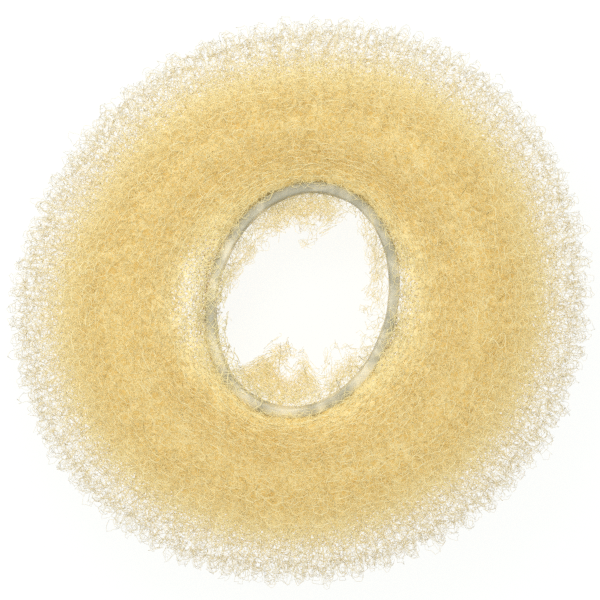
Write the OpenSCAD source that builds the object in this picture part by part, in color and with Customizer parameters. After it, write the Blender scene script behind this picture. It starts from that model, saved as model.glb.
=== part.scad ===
/* [Ring] */
// Outside diameter of the rolled net ring
ring_d = 88.5; // [80:0.5:100]
// Height of the ring as it lies on a table
ring_h = 28; // [26:0.5:32]
// Depth that the ring flattens underneath where it rests
ring_sag = 0.6; // [0.5:0.1:0.8]

/* [Net] */
// Thickness of one turn of the rolled, crimped net
net_t = 2.2; // [1.6:0.1:2.4]
// Air between one turn of the roll and the next
turn_gap = 1.1; // [0.8:0.1:1.3]
// Thickness of the net at the elastic, where it is stretched thin
hem_t = 1.1; // [1:0.1:1.2]
// Gathers where the elastic draws the net in
gathers = 26; // [20:1:28]
// Height of a gather beside the elastic
gather_h = 0.5; // [0:0.1:0.6]
// How far the net's loose end reaches into the hole where it has no fold
frill_reach = 1.6; // [1:0.1:2]
// How far the loose end hangs below the elastic where it has no fold
frill_drop = 2.2; // [1:0.1:3]

/* [Elastic] */
// Long axis of the oval elastic, along its middle line
elastic_long = 34.4; // [33:0.1:35]
// Short axis of the oval elastic, along its middle line
elastic_short = 26.9; // [25:0.1:28]
// Direction of the long axis, in degrees from +X
elastic_turn = 74; // [60:1:90]
// How far the oval lies off the ring's centre, towards +X
elastic_shift = 0.4; // [0:0.1:0.6]
// Thickness of the elastic band
elastic_t = 1.4; // [1:0.1:1.5]
// Width of the elastic band, up and down
elastic_w = 2.6; // [2.2:0.1:3]
// Height of the band's middle above the table
elastic_z = 18.5; // [17:0.5:19]
// Lean of the band, in degrees, where its inner face shows most
elastic_lean = 12; // [0:1:14]

/* [Hidden] */

// Clear space between the net and the elastic
fit = 0.3;

// One row for each 30 degrees round the ring, from +X towards +Y: how far the
// roll reaches out, as a share of ring_d / 2, and the radius of its inner face
OUTER = 0;
INNER = 1;
outline_rows = [
    [1.012, 20.2],
    [1.030, 19.8],
    [1.024, 19.8],
    [0.974, 19.8],
    [0.960, 19.8],
    [0.956, 20.4],
    [1.006, 21.6],
    [1.030, 20.8],
    [1.010, 19.8],
    [0.992, 19.8],
    [0.979, 19.8],
    [1.003, 20.0],
];

// One row for each fold of the net's loose end: its direction from the centre,
// half its spread in degrees, and how much further it reaches into the hole
FOLD_AT = 0;
FOLD_SPREAD = 1;
FOLD_REACH = 2;
fold_rows = [
    [92, 38, 4.4],
    [140, 22, 1.0],
    [256, 27, 6.4],
    [297, 26, 2.4],
    [352, 24, 0.7],
];

// Sections round the ring: two for each gather, and those of the elastic
net_sections = 2 * gathers;
band_sections = 64;

// Angle along the spiral where the drawn-in net leaves the roll
spiral_start = 60;
// One row for each turn of the spiral: the angle where it ends and its step
TURN_END = 0;
TURN_STEP = 1;
turn_rows = [[360, 15], [720, 30], [1080, 36]];
pitch = net_t + turn_gap;

// Half the height of the spiral at its start, and its middle above the table,
// so that the ring's crest is at ring_h and its underside at -ring_sag
spiral_b = (ring_h + ring_sag + pitch) / 2;
spiral_z = ring_h - spiral_b + pitch / 4;

// Value of a column of a table at an angle, on a smooth closed curve
function around(rows, column, angle) =
    let (
        n = len(rows),
        x = (angle + 360) * n / 360,
        i = floor(x),
        t = x - i,
        a = rows[(i - 1 + n) % n][column],
        b = rows[i % n][column],
        c = rows[(i + 1) % n][column],
        d = rows[(i + 2) % n][column]
    )
    b + t * ((c - a) + t * ((2 * a - 5 * b + 4 * c - d) + t * (3 * b - a - 3 * c + d))) / 2;

function outer_r(angle) = around(outline_rows, OUTER, angle) * ring_d / 2;
function inner_r(angle) = around(outline_rows, INNER, angle);

// The ring's box is centred on the origin
outline = [
    for (i = [0:net_sections - 1])
        let (angle = i * 360 / net_sections)
        outer_r(angle) * [cos(angle), sin(angle)]
];
centre_x = (max([for (p = outline) p[0]]) + min([for (p = outline) p[0]])) / 2;
centre_y = (max([for (p = outline) p[1]]) + min([for (p = outline) p[1]])) / 2;

// Radius of the elastic's middle line at an angle
function elastic_r(angle) =
    let (p = elastic_long / 2, q = elastic_short / 2, turned = angle - elastic_turn)
    p * q / sqrt(pow(q * cos(turned), 2) + pow(p * sin(turned), 2))
        + elastic_shift * cos(angle);

// Lean of the band at an angle: most at the lower left, least across from it
function lean_at(angle) = elastic_lean * (0.7 + 0.3 * cos(angle - 220));
// How far the band's upper and lower edges stand off its middle line
edge_sway = elastic_w / 2 * sin(elastic_lean);

// A point given as [radius, height], set at an angle round the ring
function placed(p, angle) =
    [p[0] * cos(angle) - centre_x, p[0] * sin(angle) - centre_y, p[1]];

// Point at t from 0 to 1 on a curve that starts at p, heads for q, ends at r
function bent(p, q, r, t) = pow(1 - t, 2) * p + 2 * t * (1 - t) * q + t * t * r;

// A point of the spiral at an angle round the ring, depth below its outer face
function spiral_point(angle, s, depth) =
    let (
        a = (outer_r(angle) - inner_r(angle) + 1.5 * pitch) / 2,
        middle = outer_r(angle) - a + pitch / 2,
        drop = pitch * s / 360 + depth,
        z = spiral_z + (spiral_b - drop) * sin(s)
    )
    [middle - (a - drop) * cos(s), max(z, 0)];

// Angles along the spiral, turn by turn
spiral_angles = [
    for (k = [0:len(turn_rows) - 1])
        let (
            step = turn_rows[k][TURN_STEP],
            from = k == 0 ? spiral_start : turn_rows[k - 1][TURN_END] + step
        )
        for (s = [from:step:turn_rows[k][TURN_END]]) s
];

// How far a fold reaches at an angle: full at its middle, none past its spread
function fold_at(row, angle) =
    let (
        turned = abs((angle - row[FOLD_AT] + 540) % 360 - 180),
        share = min(turned / row[FOLD_SPREAD], 1)
    )
    row[FOLD_REACH] * (1 + cos(180 * share)) / 2;

function add(values, i = 0) = i < len(values) ? values[i] + add(values, i + 1) : 0;
function reach_at(angle) = frill_reach + add([for (row = fold_rows) fold_at(row, angle)]);

// The net in each section is a list of [upper point, lower point] pairs. The
// loose end comes first, from its edge up to the place under the elastic
function frill_pairs(angle, gather) =
    let (
        reach = reach_at(angle),
        root = [elastic_r(angle) - elastic_t / 2 - edge_sway, elastic_z - elastic_w / 2 - fit],
        knee = root - [0.65 * reach, 0.6],
        tip = root - [reach, frill_drop + 0.55 * reach - gather * gather_h],
        middle = bent(root, knee, tip, 0.5)
    )
    [
        [tip, tip + [0.8, -0.6] * hem_t],
        [middle, middle + [0.4, -0.9] * hem_t],
        [root, root + [0.2, -1] * hem_t]
    ];

// Then the channel that holds the elastic: its floor and its outer wall
function channel_pairs(angle, gather) =
    let (
        wall_r = elastic_r(angle) + elastic_t / 2 + edge_sway + fit,
        floor_z = elastic_z - elastic_w / 2 - fit,
        top_z = elastic_z + elastic_w / 2 - fit + gather * gather_h
    )
    [
        [[wall_r, floor_z], [wall_r + hem_t, floor_z - 0.6 * hem_t]],
        [[wall_r, top_z], [wall_r + hem_t, top_z - hem_t]]
    ];

// Then the web that is drawn in to the elastic from the roll's crest
web_steps = 3;
function web_pairs(angle, gather) =
    let (edges = channel_pairs(angle, gather)[1])
    [
        for (i = [1:web_steps - 1]) [
            for (side = [0, 1])
                let (
                    crest = spiral_point(angle, spiral_start, side * net_t),
                    knee = [0.45 * crest[0] + 0.55 * edges[side][0], crest[1] - 1.4]
                )
                bent(edges[side], knee, crest, i / web_steps)
        ]
    ];

// Last the roll, turn by turn from its crest out, round and in
function roll_pairs(angle) =
    [for (s = spiral_angles) [spiral_point(angle, s, 0), spiral_point(angle, s, net_t)]];

// Outline of the net's section, out along its upper face and back inside
function net_section(angle, gather) =
    let (
        pairs = [
            each frill_pairs(angle, gather),
            each channel_pairs(angle, gather),
            each web_pairs(angle, gather),
            each roll_pairs(angle)
        ],
        n = len(pairs)
    )
    [
        for (i = [0:n - 1]) placed(pairs[i][0], angle),
        for (i = [n - 1:-1:0]) placed(pairs[i][1], angle)
    ];

// Outline of the elastic's section, a rounded rectangle that leans
function band_section(angle) =
    let (
        r = elastic_r(angle),
        lean = lean_at(angle),
        x = elastic_t / 2,
        z = elastic_w / 2,
        c = 0.3 * elastic_t,
        corners = [
            [x, c - z], [x - c, -z], [c - x, -z], [-x, c - z],
            [-x, z - c], [c - x, z], [x - c, z], [x, z - c]
        ]
    )
    [
        for (p = corners)
            placed([
                r + p[0] * cos(lean) + p[1] * sin(lean),
                elastic_z - p[0] * sin(lean) + p[1] * cos(lean)
            ], angle)
    ];

// A closed ring through sections that all have the same number of points. Each
// runs clockwise as seen with +Z up and the ring's outer side on the right
module ring_through(sections) {
    n = len(sections);
    m = len(sections[0]);
    polyhedron(
        points = [for (section = sections) each section],
        faces = [
            for (i = [0:n - 1], j = [0:m - 1])
                let (
                    here = i * m,
                    next = (i + 1) % n * m,
                    k = (j + 1) % m
                )
                each [[here + j, next + k, here + k], [here + j, next + j, next + k]]
        ]
    );
}

// The net sleeve: its loose end, the channel for the elastic, and the roll
module net_sleeve() {
    color("burlywood")
        ring_through([
            for (i = [0:net_sections - 1])
                net_section(i * 360 / net_sections, i % 2 == 0 ? 1 : -1)
        ]);
}

// The clear elastic band that holds the hole
module elastic_band() {
    color("silver")
        ring_through([
            for (i = [0:band_sections - 1]) band_section(i * 360 / band_sections)
        ]);
}

net_sleeve();
elastic_band();
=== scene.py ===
"""Hair donut bun maker: a ring of rolled, see-through knitted net that lies on a
pale table, seen from straight above. The net is modelled strand by strand."""
import math

import bpy
import numpy as np
from bpy.props import FloatProperty, FloatVectorProperty, IntProperty, PointerProperty
from bpy.types import Operator, Panel, PropertyGroup
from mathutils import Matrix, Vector


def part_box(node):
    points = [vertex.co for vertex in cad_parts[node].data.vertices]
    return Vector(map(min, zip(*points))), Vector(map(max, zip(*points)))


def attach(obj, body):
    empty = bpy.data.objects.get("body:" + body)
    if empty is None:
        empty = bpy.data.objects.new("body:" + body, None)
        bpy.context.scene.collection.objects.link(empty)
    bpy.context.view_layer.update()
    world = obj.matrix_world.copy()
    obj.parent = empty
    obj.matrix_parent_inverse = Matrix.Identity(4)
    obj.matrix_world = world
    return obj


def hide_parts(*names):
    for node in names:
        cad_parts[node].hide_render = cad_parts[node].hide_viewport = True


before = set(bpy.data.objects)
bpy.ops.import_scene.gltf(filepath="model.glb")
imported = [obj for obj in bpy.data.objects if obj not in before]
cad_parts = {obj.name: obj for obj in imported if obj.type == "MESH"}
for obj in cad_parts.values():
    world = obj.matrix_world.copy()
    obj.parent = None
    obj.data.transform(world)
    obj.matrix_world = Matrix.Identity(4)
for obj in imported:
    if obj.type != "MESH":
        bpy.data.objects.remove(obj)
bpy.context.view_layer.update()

bl_info = {
    "name": "Hair donut",
    "version": (1, 0, 0),
    "blender": (4, 5, 0),
    "location": "3D Viewport > Sidebar > Hair donut",
    "description": "Makes a ring of rolled knitted net with an elastic at its hole",
    "category": "Add Mesh",
}

NET_NODE = "net_sleeve"
BAND_NODE = "elastic_band"
BODY = "root"
MM = 0.001
TURN = 2 * math.pi

# The solids' own sizes, from the frame
NET_LOW, NET_HIGH = (np.array(corner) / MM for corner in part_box(NET_NODE))
BAND_LOW, BAND_HIGH = (np.array(corner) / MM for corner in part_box(BAND_NODE))
RING_H = float(NET_HIGH[2])
BAND_Z = float(BAND_LOW[2] + BAND_HIGH[2]) / 2

# One row for each 30 degrees round the ring, from +X towards +Y: how far the
# roll reaches out, as a share, and the radius of its inner face in millimetres
OUTER, INNER = 0, 1
OUTLINE_ROWS = np.array((
    (1.012, 20.2),
    (1.030, 19.8),
    (1.024, 19.8),
    (0.974, 19.8),
    (0.960, 19.8),
    (0.956, 20.4),
    (1.006, 21.6),
    (1.030, 20.8),
    (1.010, 19.8),
    (0.992, 19.8),
    (0.979, 19.8),
    (1.003, 20.0),
))

# One row for each fold of the net's loose end: its direction and half its
# spread in degrees, and how much further it reaches into the hole
FOLD_ROWS = (
    (92, 38, 4.4),
    (140, 22, 1.0),
    (256, 27, 6.4),
    (297, 26, 2.4),
    (352, 24, 0.7),
)

# The same for bare threads that hang out further than the folds
THREAD_ROWS = (
    (76, 22, 1.8),
    (128, 32, 1.0),
    (238, 14, 3.6),
    (255, 14, 1.6),
    (274, 15, 3.2),
    (312, 36, 1.8),
    (360, 50, 1.5),
)
# How much further the loose end reaches where it has neither
PLAIN_MORE = -0.2
# Where the largest fold has a gap, in degrees and courses from its tip
GAP_AT, GAP_ROW = 262, 3.0

# Sizes of the roll and the elastic, in millimetres and degrees
RING_SAG = 0.6
NET_T = 2.2
TURN_GAP = 1.1
PITCH = NET_T + TURN_GAP
HEM_T = 1.1
FIT = 0.3
FRILL_REACH = 1.6
FRILL_DROP = 2.2
BAND_LONG, BAND_SHORT = 34.4, 26.9
BAND_TURN = 74
BAND_SHIFT = 0.4
# How much wider the oval is laid here than the solid's, and how many times as
# thick, how far its edges are rounded, and how far it is uneven over what size
BAND_LOOSE, BAND_FULLER = 0.6, 1.08
BAND_ROUND = 0.28
BAND_UNEVEN, BAND_UNEVEN_SIZE = 0.28, 4.0
BAND_T, BAND_W = 1.4, 2.6
BAND_BOTTOM, BAND_TOP = BAND_Z - BAND_W / 2, BAND_Z + BAND_W / 2
BAND_LEAN = 12
# Where the band leans out most, and what share of its lean goes that way
LEAN_AT, LEAN_SHARE = 220, 0.3
# Room that strands keep from the band's middle line and from its edges
BAND_CLEAR, EDGE_CLEAR = 1.05, 0.15
SPIRAL_START = 60
SPIRAL_HALF_H = (RING_H + RING_SAG + PITCH) / 2
SPIRAL_Z = RING_H - SPIRAL_HALF_H + PITCH / 4


def around(column, angle):
    """Value of a column of OUTLINE_ROWS at an angle, on a smooth closed curve."""
    rows = OUTLINE_ROWS[:, column]
    n = len(rows)
    x = np.asarray(angle) % TURN / TURN * n
    i = np.floor(x).astype(int)
    t = x - i
    a, b, c, d = (rows[(i + k) % n] for k in (-1, 0, 1, 2))
    return b + t * ((c - a) + t * ((2 * a - 5 * b + 4 * c - d) + t * (3 * b - a - 3 * c + d))) / 2


def outline_middle():
    """The radius that OUTER's shares are of and the middle of the ring's box, in
    millimetres."""
    angle = np.linspace(0, TURN, 360, endpoint=False)
    x = around(OUTER, angle) * np.cos(angle)
    y = around(OUTER, angle) * np.sin(angle)
    radius = (NET_HIGH[0] - NET_LOW[0]) / np.ptp(x)
    return radius, radius * (x.max() + x.min()) / 2, radius * (y.max() + y.min()) / 2


RING_R, CENTRE_X, CENTRE_Y = outline_middle()


def rim_r(angle):
    """Radius of the ring's rim at an angle."""
    return around(OUTER, angle) * RING_R


def band_r(angle):
    """Radius of the elastic's middle line at an angle."""
    long, short = BAND_LONG / 2, BAND_SHORT / 2
    turned = angle - math.radians(BAND_TURN)
    across = np.sqrt((short * np.cos(turned)) ** 2 + (long * np.sin(turned)) ** 2)
    return long * short / across + BAND_SHIFT * np.cos(angle)


def off_by(angle, direction):
    """Degrees between an angle and a direction."""
    return np.abs((np.degrees(angle) - direction + 540) % 360 - 180)


def bumps(rows, angle, broad=1.0):
    """Sum of the rows' folds at an angle. Below 1, broad makes their sides fuller."""
    total = 0
    for direction, spread, more in rows:
        away = np.minimum(off_by(angle, direction) / spread, 1)
        total = total + more * ((1 + np.cos(math.pi * away)) / 2) ** broad
    return total


def frill_reach(angle):
    """How far the net's loose end and its threads reach into the hole."""
    return FRILL_REACH + PLAIN_MORE + bumps(FOLD_ROWS, angle, 0.5) + bumps(THREAD_ROWS, angle)


def spiral(angle, along, depth):
    """Radius and height of the roll some degrees along it, depth below its face."""
    half_w = (rim_r(angle) - around(INNER, angle) + 1.5 * PITCH) / 2
    middle = rim_r(angle) - half_w + PITCH / 2
    drop = PITCH * along / 360 + depth
    turned = np.radians(along)
    z = SPIRAL_Z + (SPIRAL_HALF_H - drop) * np.sin(turned)
    return pair(middle - (half_w - drop) * np.cos(turned), np.maximum(z, depth))


def bent(start, knee, end, along):
    """Points from 0 to 1 along a curve that starts out towards a knee."""
    return (1 - along) ** 2 * start + 2 * along * (1 - along) * knee + along * along * end


# How much further apart courses are where the net stands upright, as a share
UPRIGHT_STRETCH = 0.45


def even(path, count):
    """The path's points again, count of them, evenly spaced but further apart
    where the net stands upright and is stretched."""
    move = np.diff(path, axis=1)
    step = np.linalg.norm(move, axis=-1)
    step = step * (1 - UPRIGHT_STRETCH * (move[..., 1] / np.maximum(step, 1e-9)) ** 2)
    length = np.concatenate([np.zeros((len(path), 1)), np.cumsum(step, 1)], 1)
    wanted = np.linspace(0, 1, count)
    out = np.empty((len(path), count, 2))
    for i, row in enumerate(path):
        for k in (0, 1):
            out[i, :, k] = np.interp(wanted * length[i, -1], length[i], row[:, k])
    return out


def pair(radius, height):
    """Points given as [radius, height]."""
    return np.stack(np.broadcast_arrays(radius, height), -1)


class NetPath:
    """Where the middle of a strip of net runs: for each angle round the ring its
    points as [radius, height], with one course of loops after another."""

    SECTIONS = 360
    FINE = 8

    def __init__(self, parts):
        self.starts = {}
        grids, count = [], 0
        for name, points, courses in parts:
            self.starts[name] = count
            grids.append(even(points, courses * self.FINE + 1)[:, :-1])
            count += courses
        grid = np.concatenate(grids + [points[:, -1:]], 1)
        for _ in range(2 * self.FINE):
            grid[:, 1:-1] = (grid[:, :-2] + 2 * grid[:, 1:-1] + grid[:, 2:]) / 4
        self.grid = grid

    def at(self, angle, course):
        """The net's middle at an angle and a course, and its outward direction."""
        x = angle % TURN / TURN * self.SECTIONS
        y = course * self.FINE
        i = np.floor(x).astype(int)
        j = np.clip(np.floor(y).astype(int), 0, self.grid.shape[1] - 2)
        u, v = (x - i)[..., None], (y - j)[..., None]
        i, near = i % self.SECTIONS, (i + 1) % self.SECTIONS
        low = self.grid[i, j] * (1 - u) + self.grid[near, j] * u
        high = self.grid[i, j + 1] * (1 - u) + self.grid[near, j + 1] * u
        step = unit(high - low)
        return low * (1 - v) + high * v, np.stack([-step[..., 1], step[..., 0]], -1)


SECTION_ANGLES = np.linspace(0, TURN, NetPath.SECTIONS, endpoint=False)[:, None]
PATH_STEPS = np.linspace(0, 1, 40)[None, :, None]
# Where the loose end starts under the elastic, and the net's radius beside it
ROOT = pair(band_r(SECTION_ANGLES) - BAND_T / 2 - FIT, BAND_BOTTOM - FIT)
WALL_R = band_r(SECTION_ANGLES) + BAND_T / 2 + FIT + HEM_T / 2


def frill_points(reach, drop):
    """The loose end, from its edge up to its root under the elastic."""
    knee = ROOT - pair(0.65 * reach, 0.6)
    tip = ROOT - pair(reach, drop + 0.55 * reach)
    return bent(tip, knee, ROOT, PATH_STEPS)


def channel_points():
    """Under the elastic and up its outer side."""
    corner = pair(WALL_R, BAND_BOTTOM - 2 * HEM_T)
    return bent(ROOT, corner, pair(WALL_R, BAND_TOP), PATH_STEPS)


def web_points():
    """From the elastic out and up to the roll's crest."""
    crest = spiral(SECTION_ANGLES, SPIRAL_START, NET_T / 2)
    knee = pair(0.45 * crest[..., 0] + 0.55 * WALL_R, crest[..., 1] - 1.4)
    return bent(pair(WALL_R, BAND_TOP), knee, crest, PATH_STEPS)


def turn_points(start, end):
    """The roll from one angle along its spiral to another."""
    return spiral(SECTION_ANGLES, np.linspace(start, end, 90)[None, :], NET_T / 2)


# How far the middle of a strand keeps above the table, in millimetres
TABLE_CLEAR = 0.12


def place(angle, r, z):
    """Points in metres, none of them under the table."""
    z = np.maximum(z, TABLE_CLEAR)
    return np.stack([r * np.cos(angle) - CENTRE_X, r * np.sin(angle) - CENTRE_Y, z], -1) * MM


# Where strands go that would run into the elastic. Those that lie over it stay
BESIDE, UNDER, OVER = "beside", "under", "over"


def past_band(angle, r, z, way):
    """Radii and heights of points, with those that would run into the elastic
    turned out beside it or down under it."""
    off = r - band_r(angle)
    under = BAND_BOTTOM - EDGE_CLEAR
    if way == BESIDE:
        # The further in they are, the further they are turned out
        near = (off < BAND_CLEAR) & (z > under) & (z < BAND_TOP + EDGE_CLEAR)
        return np.where(near, band_r(angle) + 1.4 * BAND_CLEAR - 0.4 * off, r), z
    if way == UNDER:
        return r, np.where(off > -BAND_CLEAR, np.minimum(z, under), z)
    return r, z


# Depths in from the ring's rim, in millimetres: where strands start to lie in the
# open, where their painted glow for the light that comes through them starts, over
# how much it grows, and where it gets less again
OPEN_DEPTH = 16.5
LIT_DEPTH, LIT_OVER = 15.5, 6
DIM_DEPTH = 5
# Radius inside which the web's top and bottom get more painted glow, and over
# how much it grows
WEB_LIT_R, WEB_LIT_OVER = 24.5, 2.5


def open_and_painted_glow(angle, r, way):
    """How far strands lie in the open, and how much painted glow they have for the light that
    comes through them.
    """
    if way == UNDER:
        return np.clip(0.9 - 0.75 * fold_share(angle), 0, 1), 0.9 + 0 * r
    past_rim = r - rim_r(angle)
    bare = np.clip((past_rim + OPEN_DEPTH) / OPEN_DEPTH, 0, 1) ** 1.3
    painted_glow = 0.35 + 0.4 * np.clip((past_rim + LIT_DEPTH) / LIT_OVER, 0, 1)
    painted_glow = painted_glow + 0.3 * np.clip((WEB_LIT_R - r) / WEB_LIT_OVER, 0, 1) * np.sin(angle) ** 2
    painted_glow = painted_glow - 0.5 * np.clip((past_rim + DIM_DEPTH) / DIM_DEPTH, 0, 1)
    return bare, painted_glow


class Knitter:
    """Knits strips of net, one seeded draw after another."""

    # How uneven loops are in width, rise and tone, at a ragged edge and at the ends
    # of their runs
    UNEVEN_WIDTH, UNEVEN_RISE, UNEVEN_TONE = 0.16, 0.14, 0.08
    UNEVEN_EDGE, UNEVEN_RUNS = 0.4, 0.16
    # How far columns and rows of them wander, and wales are shifted up and down by
    # turns, in loops
    COLUMNS_WANDER, ROWS_WANDER = 0.12, 0.1
    WALE_CLIMB = 0.25
    # How much looser and more crimped they are on the ring's side, as a share
    SIDE_LOOSER = 0.4
    # How much paler a loop's head is than its feet, a painted highlight, and each crimp
    # than the next
    HEAD_TONE, CRIMP_TONE = 0.3, 0.1
    # What share of the loops is much paler, and by how much
    PALE_SHARE, PALE_TONE = 0.08, 0.6
    # How much deeper the tone is on the ring's side, and how much paler in the hole,
    # painted light for the light that comes through the nylon there
    SIDE_TONE, HOLE_TONE = 0.45, 0.5
    # Width of a strand on top of the ring, as a share, and how much less it is on
    # the ring's side
    TOP_WIDTH, SIDE_LESS = 1.25, 0.64
    # Loops stray where a normal draw is above this, and by how much, in millimetres
    STRAY_ABOVE, STRAY_BY = 1.2, 1.2
    # Radius outside which the net counts as the ring's side, and inside which it
    # counts as the hole's, in millimetres
    SIDE_R, HOLE_R = 30, 22
    # How much further round the ring each row is than the last, in loops
    COLUMNS_LEAN = 0.02

    def __init__(self, net):
        self.net = net
        self.random = np.random.default_rng(net.seed)

    def scatter(self, shape, size):
        """Normal draws of a size."""
        return size * self.random.standard_normal(shape)

    def waves(self, angle, course, count, fastest):
        """A smooth random field round the ring, mostly between -1 and 1."""
        total = np.zeros(np.broadcast(angle, course).shape)
        for _ in range(count):
            turns = self.random.integers(1, fastest)
            slope = self.random.uniform(-0.6, 0.6)
            total += np.sin(turns * angle + slope * course + self.random.uniform(0, TURN))
        return total / math.sqrt(count)

    def spread(self, radius, facing, pitch):
        """How far loops spread sideways. They keep their width where the wales crowd,
        and overlap. Out on the ring's side they are drawn narrow, with gaps between
        one wale and the next, and in the hole they are smaller."""
        net = self.net
        width = net.loop_width / MM - facing * (net.loop_width - net.tuft_width) / MM
        width = width * np.clip(0.7 + (radius - 10) / 24, 0.6, 1)
        spread = np.maximum(math.pi * width / pitch - 0.8, 0.5)
        return spread * (1 + self.scatter(radius.shape, self.UNEVEN_WIDTH))

    def rise(self, path, centre, rows, radius):
        """How far loops stand up and down from their row, in rows, less in the hole."""
        above, below = (path.at(centre, rows + half)[0] for half in (0.5, -0.5))
        spacing = np.linalg.norm(above - below, axis=-1)
        rise = self.net.loop_rise / MM / np.maximum(spacing, 0.5)
        rise = rise * (1 + self.scatter(radius.shape, self.UNEVEN_RISE))
        return rise * np.clip((radius - 3) / 14, 0.4, 1)

    def rib(self, radius, pitch):
        """How far wales stand before and behind their neighbours, so that the net
        keeps its width where they crowd."""
        rib = 0.5 * np.sqrt(np.maximum(self.net.rib_width ** 2 / MM ** 2 - pitch ** 2, 0.1))
        return rib * np.clip((radius - 14) / 10, 0.3, 1)

    def pulled(self, phase, shape, size):
        """How far loops are pulled about, each head by its own amount, and each foot
        together with the next loop's."""
        heads, feet = self.scatter(shape, size), self.scatter(shape, size)
        head = (1 + np.cos(phase)) / 2
        return heads * head + np.where(phase < 0, np.roll(feet, 1, 1), feet) * (1 - head)

    def tone(self, shade, phase, radius, facing, wobble):
        """How pale each point is: 0 for the deepest colour and 1 for the palest."""
        tone = shade - self.SIDE_TONE * facing
        tone = tone + self.scatter(radius.shape, self.UNEVEN_TONE) + self.CRIMP_TONE * wobble
        # Painted highlight: a loop's head stands up to the light
        tone = tone + self.HEAD_TONE * np.cos(phase) * (1 - facing)
        tone = tone + self.PALE_TONE * (self.random.random(radius.shape) < self.PALE_SHARE)
        # Painted light: paler in the hole
        return tone + self.HOLE_TONE * np.clip((self.HOLE_R - radius) / 4, 0, 1)

    def runs(self, likely, centre, rows):
        """Where loops are there: in runs, more of them where they are likely."""
        chance = 0.5 + 0.22 * self.waves(centre, rows, 4, 12)
        chance = chance + self.scatter(centre.shape, self.UNEVEN_RUNS)
        return chance < likely(centre, rows)

    def loops(self, path, courses, steps, shade, crimped=1.0, thick=1.0,
              wales=None, shift=0.0, ragged=0.0, likely=None, way=BESIDE):
        """The strands of some courses, closed rings with one loop to a wale. Gives
        their points, the net's outward direction, the strand's width, each point's
        tone, how far it is out in the open and how much painted glow it has for the
        light that comes through it, and whether it is there at all."""
        net = self.net
        wales = wales or net.wales
        rows = np.asarray(courses, float)[:, None, None] + 0.5
        wale = np.arange(wales)[None, :, None]
        # From foot to foot of a loop, with its head at 0
        phase = (np.arange(steps) / steps * TURN - math.pi)[None, None, :]
        head = (1 + np.cos(phase)) / 2
        centre = TURN * (wale + shift + self.COLUMNS_LEAN * rows) / wales
        centre = centre + self.COLUMNS_WANDER * self.waves(centre, rows, 5, 9) / wales
        each, shape = centre.shape, (len(rows), wales, steps)
        middle, normal = path.at(centre, rows)
        radius = np.maximum(middle[..., 0], 4)
        facing = np.maximum(normal[..., 0], 0) ** 2 * (radius > self.SIDE_R)
        looser = 1 + self.SIDE_LOOSER * facing
        pitch = TURN * radius / wales
        spread = self.spread(radius, facing, pitch)
        rise = self.rise(path, centre, rows, radius)
        # Every other wale stands behind its neighbours
        side = np.where(wale % 2 == 0, 1.0, -1.0)
        lift = side * self.rib(radius, pitch) * head
        lift = lift + net.ruffle / MM * facing * (np.cos(phase) - 0.5)
        lift = lift + net.curl / MM * np.cos(2 * phase)
        # Loops are pulled about, and on the ring's side a few far out
        ease = net.slack / MM
        stray = np.maximum(self.random.standard_normal(each) - self.STRAY_ABOVE, 0)
        lift = lift + self.pulled(phase, each, ease) * looser
        lift = lift + self.STRAY_BY * stray * head * facing
        along = self.pulled(phase, each, ease)
        climb = rise * np.cos(phase) + self.pulled(phase, each, 0.5 * ease)
        climb = climb + self.WALE_CLIMB * side
        climb = climb + self.ROWS_WANDER * self.waves(centre, rows, 6, 14)
        edge = self.waves(centre, 0, 6, wales // 3) + self.scatter(each, self.UNEVEN_EDGE)
        climb = climb + ragged * edge
        # The nylon is crimped
        crimp = crimped * net.crimp / MM * looser
        wobble = self.scatter(shape, 1)
        lift = lift + wobble * crimp
        along = along + self.scatter(shape, 1) * crimp
        climb = climb + self.scatter(shape, 0.5) * crimp
        angle = centre + (phase + spread * np.sin(2 * phase)) / wales + along / radius
        point, normal = path.at(angle, rows + climb)
        r = point[..., 0] + normal[..., 0] * lift
        z = point[..., 1] + normal[..., 1] * lift
        r, z = past_band(angle, r, z, way)
        # In the hole the strands' faces are turned to the light
        up = normal[..., 1] + np.clip((self.HOLE_R - r) / 3, 0, 2)
        out = normal[..., 0]
        outward = np.stack([out * np.cos(angle), out * np.sin(angle), up], -1)
        tone = self.tone(shade, phase, radius, facing, wobble)
        width = thick * net.strand_width * (self.TOP_WIDTH - self.SIDE_LESS * facing) + 0 * phase
        bare, painted_glow = open_and_painted_glow(angle, r, way)
        there = np.ones(shape, bool)
        if likely is not None:
            there &= self.runs(likely, centre, rows)
        return [field.reshape((len(rows), wales * steps) + field.shape[3:])
                for field in (place(angle, r, z), outward, width, tone, bare, painted_glow, there)]


def unit(v):
    """Vectors of length one that point the same way."""
    return v / np.maximum(np.linalg.norm(v, axis=-1, keepdims=True), 1e-12)


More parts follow.
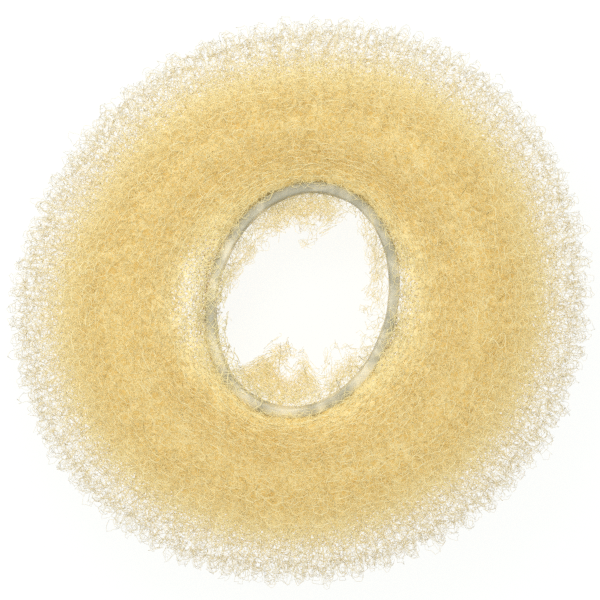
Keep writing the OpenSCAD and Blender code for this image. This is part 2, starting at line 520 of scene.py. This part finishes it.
def strand_mesh(name, strands):
    """A mesh of round strands, three-sided, through rows of points: rings, or
    pieces of rings closed at both ends."""
    points, outward, width, tone, bare, painted_glow, there = strands
    rows, count, _ = points.shape
    sides = 3
    tangent = unit(np.roll(points, -1, 1) - np.roll(points, 1, 1))
    across = unit(np.cross(tangent, outward))
    up = np.cross(across, tangent)
    turn = (np.arange(sides) / sides * TURN)[None, None, :, None]
    ring = np.sin(turn) * across[:, :, None] - np.cos(turn) * up[:, :, None]
    vertices = (points[:, :, None] + width[..., None, None] / 2 * ring).reshape(-1, 3)
    index = np.arange(rows * count * sides).reshape(rows, count, sides)
    ahead = np.roll(index, -1, 1)
    quads = np.stack([index, ahead, np.roll(ahead, -1, 2), np.roll(index, -1, 2)], -1)
    quads = quads[there].reshape(-1, 4)
    before = np.roll(there, 1, 1)
    caps = np.concatenate([index[there & ~before], index[before & ~there][:, ::-1]])
    loops = np.concatenate([quads.ravel(), caps.ravel()])
    starts = np.concatenate([np.arange(len(quads)) * 4, quads.size + np.arange(len(caps)) * 3])
    used = np.zeros(len(vertices), bool)
    used[loops] = True
    loops = (np.cumsum(used) - 1)[loops]
    mesh = bpy.data.meshes.new(name)
    mesh.vertices.add(int(used.sum()))
    mesh.vertices.foreach_set("co", vertices[used].astype(np.float32).ravel())
    mesh.loops.add(len(loops))
    mesh.loops.foreach_set("vertex_index", loops.astype(np.int32))
    mesh.polygons.add(len(starts))
    mesh.polygons.foreach_set("loop_start", starts.astype(np.int32))
    mesh.update(calc_edges=True)
    for field, values in (("tone", tone), ("bare", bare), ("painted_glow", painted_glow)):
        values = np.repeat(values.astype(np.float32).ravel(), sides)[used]
        mesh.attributes.new(field, "FLOAT", "POINT").data.foreach_set("value", values)
    piece = bpy.data.objects.new(name, mesh)
    bpy.context.scene.collection.objects.link(piece)
    return piece


class Wire:
    """A socket's output that can be used in sums: each adds a Math node."""

    def __init__(self, finish, output):
        self.finish = finish
        self.output = output

    def math(self, operation, *values):
        """A Math node of these values, some of which are wires."""
        return self.finish.node(
            "ShaderNodeMath", {"operation": operation}, dict(enumerate(values)))

    def __add__(self, other):
        return self.math("ADD", self, other)

    def __radd__(self, other):
        return self.math("ADD", other, self)

    def __sub__(self, other):
        return self.math("SUBTRACT", self, other)

    def __rsub__(self, other):
        return self.math("SUBTRACT", other, self)

    def __mul__(self, other):
        return self.math("MULTIPLY", self, other)

    def __rmul__(self, other):
        return self.math("MULTIPLY", other, self)

    def most(self, other):
        return self.math("MAXIMUM", self, other)

    def clamped(self):
        """The same, held between 0 and 1."""
        return self.finish.node(
            "ShaderNodeMath", {"operation": "ADD", "use_clamp": True}, {0: self, 1: 0})


class Finish:
    """A procedural material, built node by node."""

    def __init__(self, name):
        self.material = bpy.data.materials.new(name)
        self.material.use_nodes = True
        self.tree = self.material.node_tree
        self.tree.nodes.clear()

    def node(self, kind, settings, values, output=0):
        """Adds a node, its settings first, then its sockets' values or links."""
        node = self.tree.nodes.new(kind)
        for name, value in settings.items():
            setattr(node, name, value)
        for name, value in values.items():
            if isinstance(value, Wire):
                self.tree.links.new(value.output, node.inputs[name])
            else:
                node.inputs[name].default_value = value
        return Wire(self, node.outputs[output])

    def mix(self, factor, first, second):
        """A colour between two others."""
        return self.node(
            "ShaderNodeMix", {"data_type": "RGBA"},
            {"Factor": factor, 6: first, 7: second}, output=2)

    def place(self):
        """Where a point is, in the piece's own measures."""
        return self.node("ShaderNodeTexCoord", {}, {}, output="Object")

    def attribute(self, name):
        return self.node("ShaderNodeAttribute", {"attribute_name": name}, {}, output="Fac")

    def noise(self, scale, detail=2.0, place=None):
        return self.node(
            "ShaderNodeTexNoise", {},
            {"Vector": place or self.place(), "Scale": scale, "Detail": detail})

    def bump(self, height, distance):
        """A normal that follows a height."""
        return self.node(
            "ShaderNodeBump", {}, {"Strength": 0.3, "Distance": distance, "Height": height})

    def surface(self, values):
        """Ends the material with a Principled shader of these values."""
        shader = self.node("ShaderNodeBsdfPrincipled", {}, values)
        output = self.tree.nodes.new("ShaderNodeOutputMaterial")
        self.tree.links.new(shader.output, output.inputs["Surface"])
        return self.material


def rgb(red, green, blue):
    """A colour as a paint chart gives it, 0 to 255, made linear for the shader."""
    def linear(value):
        value /= 255
        return value / 12.92 if value <= 0.04045 else ((value + 0.055) / 1.055) ** 2.4
    return tuple(linear(value) for value in (red, green, blue))


def strand_finish(net):
    """Golden nylon, paler where it is out in the open. It has a painted glow, an emission
    that stands in for the light that comes through it, most of all where the net is thin."""
    finish = Finish("golden_nylon")
    tone = finish.attribute("tone")
    bare = finish.attribute("bare")
    painted_glow = finish.attribute("painted_glow")
    patch = finish.noise(90.0)
    colour = finish.mix(tone + patch * 0.12 - 0.06, (*net.deep_colour, 1), (*net.pale_colour, 1))
    colour = finish.mix(bare * 0.9, colour, (*net.bare_colour, 1))
    return finish.surface({
        "Base Color": colour,
        "Roughness": 0.34,
        "IOR": 1.53,
        # Painted glow, for the light that comes through the nylon
        "Emission Color": finish.mix(painted_glow, (0, 0, 0, 1), colour),
        "Emission Strength": net.glow,
    })


# Lines of loops on the pressed turns, drawn pale: the loops are the net's own, their
# paleness a painted highlight. How many to a metre in each set, and how far they
# are crimped, in metres
LINE_SCALES = (430.0, 560.0, 760.0)
CRIMP_SHIFT = 0.0016


def core_finish(net):
    """The inner turns of the net, pressed together: loops over loops, drawn pale with
    a painted highlight, and holes where the turns thin out, painted paler there.
    A painted glow stands in for the light that comes through them."""
    finish = Finish("pressed_net")
    place = finish.place()
    fine = finish.noise(2400.0, 3.0, place)
    coarse = finish.noise(350.0, 2.0, place)
    holes = finish.noise(3200.0, 1.0, place)
    solid = finish.attribute("solid")
    crimps = finish.node(
        "ShaderNodeTexNoise", {}, {"Vector": place, "Scale": 1300.0, "Detail": 2.0}, "Color")
    crimped = finish.node("ShaderNodeVectorMath", {"operation": "MULTIPLY_ADD"}, {
        0: crimps, 1: (CRIMP_SHIFT,) * 3, 2: place})
    lines = None
    for scale in LINE_SCALES:
        away = finish.node("ShaderNodeTexVoronoi", {"feature": "DISTANCE_TO_EDGE"}, {
            "Vector": crimped, "Scale": scale})
        line = (1.3 - away * (9000.0 / scale)).clamped()
        lines = line if lines is None else lines.most(line)
    ground = finish.mix(coarse * 0.8 + 0.1, (*net.core_colour, 1), (*net.deep_colour, 1))
    # Painted light: paler where the turns thin out, for the light that comes through them
    ground = finish.mix((1 - solid) * 1.5, ground, (*net.pale_colour, 1))
    # Pale loop lines: real loops with a painted highlight
    colour = finish.mix(lines * (0.3 + 0.5 * fine), ground, (*net.pale_colour, 1))
    bump = finish.bump(fine * 0.3 + lines, 0.0003)
    there = ((holes + solid * 0.56 - 0.78) * 10 + 0.5).clamped()
    return finish.surface({
        "Base Color": colour,
        "Roughness": 0.6,
        "Specular IOR Level": 0.3,
        # Painted glow: emission that stands in for the light that comes through the turns
        "Emission Color": colour,
        "Emission Strength": net.core_glow,
        "Alpha": there,
        "Normal": bump,
    })


def band_finish(band):
    """Clear grey elastic, a little cloudy."""
    finish = Finish("clear_elastic")
    cloud = finish.noise(210.0, 2.0)
    streak = finish.noise(1100.0, 3.0)
    # Painted light: paler at the bottom, where the net shines through it
    side = finish.node("ShaderNodeVectorMath", {"operation": "DOT_PRODUCT"}, {
        0: finish.place(), 1: (-3.0, -22.0, 0.0)}, "Value")
    colour = finish.mix(
        cloud * 4 + streak * 0.8 - 1.9 + side, (*band.dark_colour, 1), (*band.pale_colour, 1))
    bump = finish.bump(streak, 0.0002)
    return finish.surface({
        "Base Color": colour,
        "Roughness": 0.5,
        "IOR": 1.45,
        "Transmission Weight": 0.12,
        "Alpha": (0.7 + streak * 0.3).clamped(),
        "Normal": bump,
    })


def floor_finish(stage):
    """A pale table, lit from below as well as from above."""
    finish = Finish("pale_table")
    grain = finish.noise(40.0)
    shade = finish.mix(grain * 0.1, (0.15, 0.153, 0.151, 1), (0.13, 0.133, 0.131, 1))
    return finish.surface({
        "Base Color": shade,
        "Roughness": 0.9,
        "Specular IOR Level": 0.0,
        "Emission Color": (0.985, 1.0, 0.99, 1),
        "Emission Strength": stage.floor_glow,
    })


def finished(piece, material):
    """Gives a new piece its only material."""
    piece.data.materials.clear()
    piece.data.materials.append(material)
    return piece


class HairDonutNet(PropertyGroup):
    """Sizes and colours of the knitted net."""

    wales: IntProperty(
        name="Wales", description="Columns of loops round the ring", default=118, min=40)
    loop_width: FloatProperty(
        name="Loop width", description="Width of a loop at its widest",
        default=0.0022, unit="LENGTH", precision=5)
    loop_rise: FloatProperty(
        name="Loop rise", description="How far a loop's head stands off its row",
        default=0.0014, unit="LENGTH", precision=5)
    rib_width: FloatProperty(
        name="Rib width", description="Width of the net from one wale to the next, laid flat",
        default=0.0023, unit="LENGTH", precision=5)
    tuft_width: FloatProperty(
        name="Tuft width", description="Width of a loop out on the ring's side",
        default=0.0013, unit="LENGTH", precision=5)
    ruffle: FloatProperty(
        name="Ruffle", description="How far a wale stands in and out on the ring's side",
        default=0.0010, unit="LENGTH", precision=5)
    crimp: FloatProperty(
        name="Crimp", description="How far the nylon's crimps move it",
        default=0.00015, unit="LENGTH", precision=5)
    curl: FloatProperty(
        name="Curl", description="How far a loop curls out of the net's face",
        default=0.00035, unit="LENGTH", precision=5)
    slack: FloatProperty(
        name="Slack", description="How far loops are pulled out of place",
        default=0.00035, unit="LENGTH", precision=5)
    fold_layers: IntProperty(
        name="Fold layers", description="Layers of net in a fold of the loose end",
        default=5, min=1)
    # Painted glow: the strands' emission stands in for light that comes through the nylon
    glow: FloatProperty(
        name="Glow", description="Light that comes through the strands", default=0.18)
    # Painted glow of the inner turns, for the light that comes through them
    core_glow: FloatProperty(
        name="Inner glow", description="Light that comes through the turns inside", default=0.12)
    strand_width: FloatProperty(
        name="Strand width", description="Thickness of the nylon strand",
        default=0.000085, unit="LENGTH", precision=6)
    seed: IntProperty(name="Seed", description="Which set of loops is pulled about", default=7)
    pale_colour: FloatVectorProperty(
        name="Pale strand", description="Colour of the palest strands",
        subtype="COLOR", default=(0.95, 0.86, 0.49))
    deep_colour: FloatVectorProperty(
        name="Deep strand", description="Colour of the deepest strands",
        subtype="COLOR", default=(0.80, 0.60, 0.20))
    bare_colour: FloatVectorProperty(
        name="Bare strand", description="Colour of the strands out in the open",
        subtype="COLOR", default=(0.88, 0.79, 0.50))
    core_colour: FloatVectorProperty(
        name="Pressed net", description="Colour of the turns inside the roll",
        subtype="COLOR", default=(0.77, 0.55, 0.19))


class HairDonutBand(PropertyGroup):
    """Colours of the elastic."""

    pale_colour: FloatVectorProperty(
        name="Pale elastic", description="Colour of the elastic where it is clear",
        subtype="COLOR", default=rgb(250, 244, 216))
    dark_colour: FloatVectorProperty(
        name="Dark elastic", description="Colour of the elastic where it is cloudy",
        subtype="COLOR", default=rgb(188, 186, 164))


class HairDonutStage(PropertyGroup):
    """Light and camera."""

    floor_glow: FloatProperty(
        name="Table glow", description="Light that comes up through the table", default=0.88)
    sky: FloatProperty(
        name="Room light", description="Light from all round", default=0.8)
    lamp: FloatProperty(
        name="Lamp", description="Power of the soft lamp overhead, in watts", default=0.11)
    photo_width: FloatProperty(
        name="Picture width", description="What the picture takes in at the ring's widest",
        default=0.0928, unit="LENGTH", precision=5)
    camera_height: FloatProperty(
        name="Camera height", description="From the table to the camera",
        default=0.6, unit="LENGTH")


def fold_share(angle):
    """How much of a fold the loose end has at an angle, from 0 to about 1."""
    return (bumps(FOLD_ROWS, angle, 0.5) + 0.6 * bumps(THREAD_ROWS, angle)) / 6.4


def gap(angle, row):
    """How much less likely loops are in the gap of the largest fold."""
    return 1.6 * np.exp(-(off_by(angle, GAP_AT) / 7) ** 2 - ((row - GAP_ROW) / 1.3) ** 2)


def edge_share(angle, row):
    """Where the loose end's own edge has loops: more of them towards its root."""
    return (0.28 + 0.45 * fold_share(angle)) * (0.42 + 0.2 * row) - gap(angle, row)


def layer_share(angle, row):
    """Where a layer of net has loops: in the folds, more of them towards the root."""
    return fold_share(angle) * (0.36 + 0.13 * row) - 0.16 - gap(angle, row)


def over_points():
    """From the web up over the elastic and into the hole."""
    middle = band_r(SECTION_ANGLES)
    start = pair(middle + 2.2, BAND_Z + 0.8)
    top = pair(middle + 0.2, BAND_TOP + 1.5)
    return bent(start, top, pair(middle - 2.0, BAND_Z - 0.4), PATH_STEPS)


def gather_points():
    """The gathered net that lies against the elastic's outer edge."""
    middle = band_r(SECTION_ANGLES)
    start = pair(middle + 1.1, BAND_TOP + 0.2)
    knee = pair(middle + 1.3, BAND_TOP + 0.7)
    return bent(start, knee, pair(middle + 2.8, BAND_TOP + 1.6), PATH_STEPS)


def web_share(angle, course):
    """Where the web has all its strands: everywhere but beside the elastic at the
    left and right, where it is stretched thin."""
    return 2 - 1.45 * np.cos(angle) ** 2 * np.clip((6 - course) / 3, 0, 1)


def over_share(angle, course):
    """Where strands cross over the elastic: mostly at the left and the bottom."""
    return 0.62 * np.maximum(np.cos((angle - math.radians(205)) * 0.75), 0) ** 2


def net_piece(name, strands, material):
    """Makes strands a piece that stands for the net's solid."""
    piece = finished(strand_mesh(name, strands), material)
    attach(piece, BODY)
    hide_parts(NET_NODE)


def joined(strips):
    """Strips of strands with the same number of points, as one."""
    return [np.concatenate(fields) for fields in zip(*strips)]


class HAIRDONUT_OT_net(Operator):
    """Knit the net's outer turns, strand by strand"""

    bl_idname = "hair_donut.net"
    bl_label = "Net"

    def execute(self, context):
        net = context.scene.hair_donut_net
        knitter = Knitter(net)
        material = strand_finish(net)
        sleeve = NetPath((
            ("channel", channel_points(), 2),
            ("web", web_points(), 9),
            ("turn_1", turn_points(SPIRAL_START, 360), 36),
            ("turn_2", turn_points(360, 720), 31),
            ("turn_3", turn_points(720, 1080), 22),
        ))
        first, second = sleeve.starts["turn_1"], sleeve.starts["turn_2"]
        # Name, first course and the one after the last, steps to a loop, tone, crimp,
        # thickness
        strips = (
            ("net_web", 0, first + 3, 18, 0.4, 1.2, 0.8),
            ("net_crest", first + 3, first + 7, 16, 0.3, 1.1, 0.85),
            ("net_shoulder", first + 7, first + 15, 24, 0.4, 1.0, 0.85),
            ("net_outer_side", first + 15, first + 23, 24, 0.8, 1.0, 1.0),
            ("net_under_layer", first + 5.5, first + 16.5, 20, 0.5, 1.0, 0.8),
            ("net_underside", first + 23, second, 9, 0.4, 1.2, 1.1),
            ("net_second_turn", second + 7, second + 22, 9, 0.5, 1.2, 1.3),
        )
        for name, start, end, steps, shade, crimped, thick in strips:
            likely = web_share if name == "net_web" else None
            strands = knitter.loops(
                sleeve, np.arange(start, end), steps, shade, crimped, thick, likely=likely)
            net_piece(name, strands, material)
        return {"FINISHED"}


class HAIRDONUT_OT_frill(Operator):
    """Knit the net's loose end: a short edge all round, and folds over folds"""

    bl_idname = "hair_donut.frill"
    bl_label = "Loose end"

    def execute(self, context):
        net = context.scene.hair_donut_net
        knitter = Knitter(net)
        material = strand_finish(net)
        reach = frill_reach(SECTION_ANGLES)
        edge = NetPath((("edge", frill_points(reach, FRILL_DROP), 6),))
        strands = knitter.loops(
            edge, range(6), 12, shade=0.3, thick=0.52, wales=108, ragged=0.8,
            likely=edge_share, way=UNDER)
        net_piece("net_loose_end", strands, material)
        folds = []
        for k in range(net.fold_layers):
            share = 0.35 + 0.7 * (k + 1) / net.fold_layers
            longer = 0.8 * FRILL_REACH + (reach - FRILL_REACH) * share
            fold = NetPath((("fold", frill_points(longer, FRILL_DROP * (1.4 - share)), 8),))
            folds.append(knitter.loops(
                fold, range(8), 12, shade=0.2, thick=0.55, wales=84, shift=0.3 * k,
                ragged=1.2, likely=layer_share, way=UNDER))
        net_piece("net_folds", joined(folds), material)
        gather = NetPath((("gather", gather_points(), 2),))
        strands = knitter.loops(gather, range(2), 16, shade=0.6, thick=0.7, way=OVER)
        net_piece("net_gather", strands, material)
        over = NetPath((("over", over_points(), 3),))
        strands = knitter.loops(
            over, range(3), 14, shade=1.4, crimped=0.8, thick=0.9, likely=over_share, way=OVER)
        net_piece("net_over_elastic", strands, material)
        return {"FINISHED"}


def select_where(piece, test):
    """Selects the piece's vertices that pass a test, and nothing else."""
    mesh = piece.data
    chosen = [bool(test(vertex.co)) for vertex in mesh.vertices]
    mesh.polygons.foreach_set("select", [False] * len(mesh.polygons))
    mesh.edges.foreach_set("select", [False] * len(mesh.edges))
    mesh.vertices.foreach_set("select", chosen)
    bpy.ops.object.mode_set(mode="EDIT")
    bpy.ops.mesh.select_mode(type="VERT")


def apply_modifier(piece, kind, **settings):
    """Adds a modifier, gives it its settings and applies it."""
    modifier = piece.modifiers.new(kind.lower(), kind)
    for name, value in settings.items():
        setattr(modifier, name, value)
    bpy.ops.object.modifier_apply(modifier=modifier.name)


def clouds(name, size):
    """A soft noise for the Displace modifier."""
    texture = bpy.data.textures.new(name, "CLOUDS")
    texture.noise_scale = size
    texture.noise_depth = 1
    return texture


# The pressed turns: their middle above the table and half their height, how far
# they keep from the elastic's middle line and the rim, and over how much they
# thin out towards the rim
CORE_Z, CORE_HALF_H = 12.9, 10.6
CORE_OFF_BAND, CORE_OFF_RIM = 0.9, 4.5
CORE_FADE = 7.8
# How much light the turns let through at the left and right, how much of it goes
# from the right to the left, and how many times as much comes through below, and
# up to what share of half their height
OPEN_SIDES, OPEN_SHIFT = 0.55, 0.06
OPEN_BELOW, BELOW_TO = 1.65, 0.3
# Radius where they close up, how much more it is at the left and right, and how
# much of that goes from the right to the left
CLOSED_R, CLOSED_SIDES, CLOSED_SHIFT = 18.4, 3.2, 0.9
# How full the turns' section is: the power that its height is raised to in the
# middle, where a lower one is fuller, and how much that grows outwards
SECTION_POWER, SECTION_CHANGE = 0.62, 0.3
# The innermost turn: half its height, and how far it keeps inside the others
INNER_TURN_HALF_H = 8.6
INNER_TURN_OFF_CLOSED, INNER_TURN_OFF_OUTER = 0.6, 6.0
# Name, size and depth of the unevenness of the pressed turns, in metres
PRESSED_RELIEF = (("lumps", 0.0045, 0.0009), ("strands", 0.0009, 0.0011))


def core_inner(angle):
    """Radius of the pressed turns' inner edge, beside the elastic."""
    return band_r(angle) + CORE_OFF_BAND


def core_outer(angle):
    """Radius of the pressed turns' outer edge."""
    return rim_r(angle) - CORE_OFF_RIM


def core_closed(angle):
    """Radius where the pressed turns close up, out from the elastic."""
    return CLOSED_R + np.cos(angle) ** 2 * (CLOSED_SIDES - CLOSED_SHIFT * np.cos(angle))


def core_solid(radius, angle, lower):
    """How solid the pressed turns are: the light comes through the net where it
    is drawn in to the elastic at the left and right, most of all below, and
    towards the ring's edge."""
    inner, outer = core_inner(angle), core_outer(angle)
    sides = np.cos(angle) ** 2
    start = np.clip((radius - inner) / np.maximum(core_closed(angle) - inner, 0.3), 0, 1)
    end = np.clip((outer - radius) / CORE_FADE, 0, 1)
    open_share = sides * (OPEN_SIDES - OPEN_SHIFT * np.cos(angle))
    open_share = open_share * np.where(lower, OPEN_BELOW, 1)
    return np.minimum(1 - open_share * (1 - start ** 2), end ** 0.8)


def inner_turn_inner(angle):
    """Radius of the innermost turn's inner edge."""
    return core_closed(angle) + INNER_TURN_OFF_CLOSED


def inner_turn_outer(angle):
    """Radius of the innermost turn's outer edge."""
    return core_outer(angle) - INNER_TURN_OFF_OUTER


def inner_turn_solid(radius, angle, lower):
    """How solid the innermost turn is: a little open at its outer face."""
    return np.clip(0.5 + 0.17 * (inner_turn_outer(angle) - radius), 0, 1)


def press(name, segments, inner_edge, outer_edge, half_h, solidity, net):
    """Presses turns of the net together: a torus moved to the roll's section."""
    torus_r = 3
    bpy.ops.object.select_all(action="DESELECT")
    bpy.ops.mesh.primitive_torus_add(
        major_segments=segments, minor_segments=segments // 5,
        major_radius=torus_r, minor_radius=1)
    core = bpy.context.active_object
    core.name = core.data.name = name
    spots = np.empty(len(core.data.vertices) * 3, np.float32)
    core.data.vertices.foreach_get("co", spots)
    x, y, z = spots.reshape(-1, 3).T
    angle = np.arctan2(y, x)
    inner, outer = inner_edge(angle), outer_edge(angle)
    across = np.hypot(x, y) - torus_r
    radius = (inner + outer) / 2 + across * (outer - inner) / 2
    height = np.sign(z) * np.abs(z) ** (SECTION_POWER + SECTION_CHANGE * across) * half_h
    spots = np.stack([
        radius * np.cos(angle) - CENTRE_X,
        radius * np.sin(angle) - CENTRE_Y,
        CORE_Z + height], -1) * MM
    core.data.vertices.foreach_set("co", spots.astype(np.float32).ravel())
    solid = core.data.attributes.new("solid", "FLOAT", "POINT")
    solid.data.foreach_set("value", solidity(radius, angle, z < BELOW_TO).astype(np.float32))
    core.data.update()
    apply_modifier(core, "SUBSURF", levels=1, render_levels=1)
    for relief, size, depth in PRESSED_RELIEF:
        apply_modifier(core, "DISPLACE", texture=clouds(relief, size), strength=depth)
    bpy.ops.object.shade_smooth()
    finished(core, core_finish(net))
    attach(core, BODY)
    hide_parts(NET_NODE)


class HAIRDONUT_OT_core(Operator):
    """Press the inner turns of the net together into soft bodies"""

    bl_idname = "hair_donut.core"
    bl_label = "Inner turns"

    def execute(self, context):
        net = context.scene.hair_donut_net
        press("net_core", 180, core_inner, core_outer, CORE_HALF_H, core_solid, net)
        press("net_inner_turn", 110, inner_turn_inner, inner_turn_outer, INNER_TURN_HALF_H,
              inner_turn_solid, net)
        return {"FINISHED"}


def lean_out(piece, centre, long):
    """Leans the band out at its top, most at the lower left: its upper edge grows
    and moves there, and its lower edge the other way."""
    sway = BAND_W * math.sin(math.radians(BAND_LEAN)) / long
    lean_to = math.radians(LEAN_AT)
    for upper in (True, False):
        sign = 1 if upper else -1
        select_where(piece, lambda spot: (spot.z > centre.z) == upper)
        wider = 1 + (1 - LEAN_SHARE) * sign * sway
        bpy.ops.transform.resize(value=(wider, wider, 1), center_override=centre)
        push = LEAN_SHARE * sign * sway * long / 2 * MM
        bpy.ops.transform.translate(
            value=(push * math.cos(lean_to), push * math.sin(lean_to), 0))
        bpy.ops.object.mode_set(mode="OBJECT")


class HAIRDONUT_OT_band(Operator):
    """Lay the clear elastic round the hole"""

    bl_idname = "hair_donut.band"
    bl_label = "Elastic"

    def execute(self, context):
        band = context.scene.hair_donut_band
        centre = Vector((BAND_SHIFT - CENTRE_X, -CENTRE_Y, BAND_Z)) * MM
        long, short = BAND_LONG + BAND_LOOSE, BAND_SHORT + BAND_LOOSE
        bpy.ops.object.select_all(action="DESELECT")
        bpy.ops.mesh.primitive_cylinder_add(
            vertices=168, radius=long / 2 * MM, depth=BAND_W * MM,
            end_fill_type="NOTHING", location=centre)
        piece = context.active_object
        piece.name = piece.data.name = "clear_elastic"
        bpy.ops.object.transform_apply(location=True, rotation=True, scale=True)
        select_where(piece, lambda spot: True)
        bpy.ops.transform.resize(value=(short / long, 1, 1), center_override=centre)
        bpy.ops.transform.rotate(
            value=math.radians(90 - BAND_TURN), orient_axis="Z", center_override=centre)
        bpy.ops.object.mode_set(mode="OBJECT")
        lean_out(piece, centre, long)
        apply_modifier(piece, "SOLIDIFY", thickness=BAND_FULLER * BAND_T * MM, offset=0)
        apply_modifier(piece, "BEVEL", width=BAND_ROUND * MM, segments=3)
        uneven = clouds("uneven", BAND_UNEVEN_SIZE * MM)
        apply_modifier(piece, "DISPLACE", texture=uneven, strength=BAND_UNEVEN * MM)
        bpy.ops.object.shade_smooth()
        finished(piece, band_finish(band))
        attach(piece, BODY)
        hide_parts(BAND_NODE)
        return {"FINISHED"}


# Where the lamp hangs, where it points and how wide it is, in metres
LAMP_AT, LAMP_AIM, LAMP_SIZE = (-0.035, 0.075, 0.18), (0, 0, 0.014), 0.08


def lay_table(stage):
    """Lays a wide, plain table under the ring."""
    bpy.ops.mesh.primitive_plane_add(size=6, location=(0, 0, 0))
    floor = bpy.context.active_object
    floor.name = "table"
    finished(floor, floor_finish(stage))


def light_room(stage):
    """Lights the ring from all round, as a white room does."""
    world = bpy.data.worlds.new("room")
    world.use_nodes = True
    background = world.node_tree.nodes["Background"]
    background.inputs["Color"].default_value = (1, 1, 1, 1)
    background.inputs["Strength"].default_value = stage.sky
    bpy.context.scene.world = world


def hang_lamp(stage):
    """Hangs a soft, round lamp over the ring."""
    bpy.ops.object.light_add(type="AREA", location=LAMP_AT)
    lamp = bpy.context.active_object
    lamp.name = "key"
    lamp.data.shape = "DISK"
    lamp.data.size = LAMP_SIZE
    lamp.data.energy = stage.lamp
    ray = Vector(LAMP_AIM) - lamp.location
    lamp.rotation_euler = ray.to_track_quat("-Z", "Y").to_euler()


def set_camera(stage):
    """Sets the camera straight above. The picture's width is what it takes in at the
    roll's middle height."""
    bpy.ops.object.camera_add(location=(-CENTRE_X * MM, -CENTRE_Y * MM, stage.camera_height))
    camera = bpy.context.active_object
    camera.rotation_euler = (0, 0, 0)
    away = stage.camera_height - SPIRAL_Z * MM
    camera.data.lens = camera.data.sensor_width * away / stage.photo_width
    bpy.context.scene.camera = camera


class HAIRDONUT_OT_stage(Operator):
    """Set the table, the soft light and the camera"""

    bl_idname = "hair_donut.stage"
    bl_label = "Stage"

    def execute(self, context):
        scene = context.scene
        stage = scene.hair_donut_stage
        bpy.ops.object.select_all(action="DESELECT")
        lay_table(stage)
        light_room(stage)
        hang_lamp(stage)
        set_camera(stage)
        scene.view_settings.view_transform = "Standard"
        scene.cycles.use_denoising = False
        scene.cycles.max_bounces = 16
        scene.cycles.diffuse_bounces = 10
        scene.cycles.transmission_bounces = 8
        return {"FINISHED"}


class HAIRDONUT_PT_sidebar(Panel):
    """Lists the pieces in the order in which they are made"""

    bl_idname = "HAIRDONUT_PT_sidebar"
    bl_label = "Hair donut"
    bl_space_type = "VIEW_3D"
    bl_region_type = "UI"
    bl_category = "Hair donut"

    def draw(self, context):
        for operator in OPERATORS:
            self.layout.operator(operator.bl_idname)


GROUPS = (HairDonutNet, HairDonutBand, HairDonutStage)
OPERATORS = (
    HAIRDONUT_OT_stage,
    HAIRDONUT_OT_net,
    HAIRDONUT_OT_frill,
    HAIRDONUT_OT_core,
    HAIRDONUT_OT_band,
)
CLASSES = GROUPS + OPERATORS + (HAIRDONUT_PT_sidebar,)


def register():
    for item in CLASSES:
        bpy.utils.register_class(item)
    bpy.types.Scene.hair_donut_net = PointerProperty(type=HairDonutNet)
    bpy.types.Scene.hair_donut_band = PointerProperty(type=HairDonutBand)
    bpy.types.Scene.hair_donut_stage = PointerProperty(type=HairDonutStage)


def unregister():
    del bpy.types.Scene.hair_donut_stage
    del bpy.types.Scene.hair_donut_band
    del bpy.types.Scene.hair_donut_net
    for item in reversed(CLASSES):
        bpy.utils.unregister_class(item)


def main():
    register()
    bpy.ops.hair_donut.stage()
    bpy.ops.hair_donut.net()
    bpy.ops.hair_donut.frill()
    bpy.ops.hair_donut.core()
    bpy.ops.hair_donut.band()


if __name__ == "__main__":
    main()
